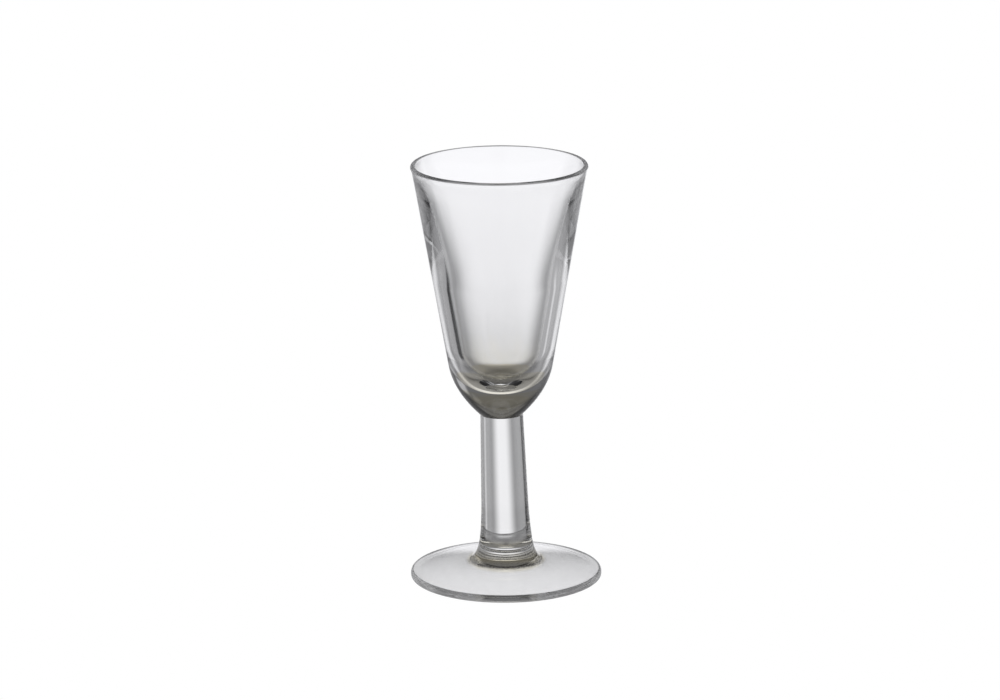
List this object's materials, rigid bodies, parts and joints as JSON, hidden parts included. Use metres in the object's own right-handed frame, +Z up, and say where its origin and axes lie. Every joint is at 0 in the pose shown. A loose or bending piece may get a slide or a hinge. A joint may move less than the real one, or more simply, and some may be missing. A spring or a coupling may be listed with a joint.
{
  "type": "cordial glass",
  "caption": "Small stemmed drinking glass: thick-walled conical bowl with a solid base, solid round stem and round foot.",
  "frame": {"origin": "centre of the foot, on the plane that its resting ring stands on", "axes": "+Z up through the foot and the bowl to the rim; the stem leans a little towards -X"},
  "size_m": [0.0548, 0.0548, 0.121],
  "materials": {
    "clear_glass": "fire-polished clear glass with a faint grey-olive tint"
  },
  "bodies": {
    "root": {"bowl": "clear_glass", "stem": "clear_glass", "foot": "clear_glass"}
  },
  "joints": []
}
